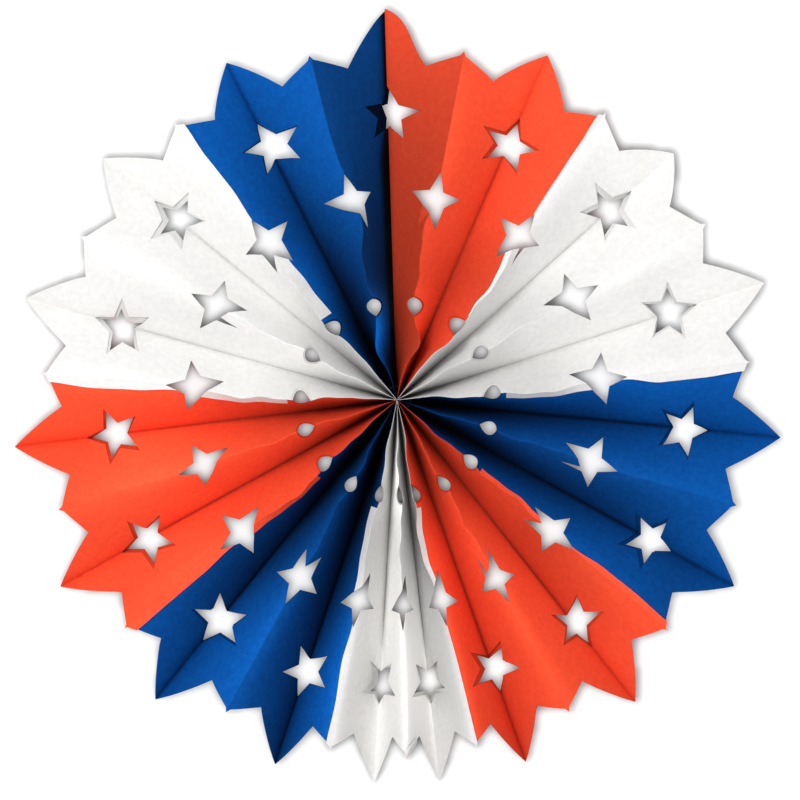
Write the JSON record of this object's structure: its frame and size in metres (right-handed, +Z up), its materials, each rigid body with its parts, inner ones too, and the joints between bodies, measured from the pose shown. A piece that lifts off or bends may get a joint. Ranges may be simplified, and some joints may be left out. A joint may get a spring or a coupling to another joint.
{
  "type": "paper fan rosette",
  "caption": "Pleated paper fan opened to a full round in red, white and blue sections, with star and drop cut-outs along its folds, for hanging on a wall.",
  "frame": {"origin": "fan centre, on the hub axis, midway between the front and back folds there", "axes": "+Z up as it hangs, -Y out of its face towards the viewer, +X to the viewer's right"},
  "size_m": [0.4572, 0.0464, 0.4593],
  "materials": {
    "red_paper": "matte",
    "white_paper": "matte",
    "blue_paper": "matte",
    "thread": "matte"
  },
  "bodies": {
    "root": {"red_section_top": "red_paper", "white_section_upper_right": "white_paper", "blue_section_right": "blue_paper", "red_section_lower_right": "red_paper", "white_section_bottom": "white_paper", "blue_section_lower_left": "blue_paper", "red_section_left": "red_paper", "white_section_upper_left": "white_paper", "blue_section_top": "blue_paper", "gathering_thread": "thread"}
  },
  "joints": []
}
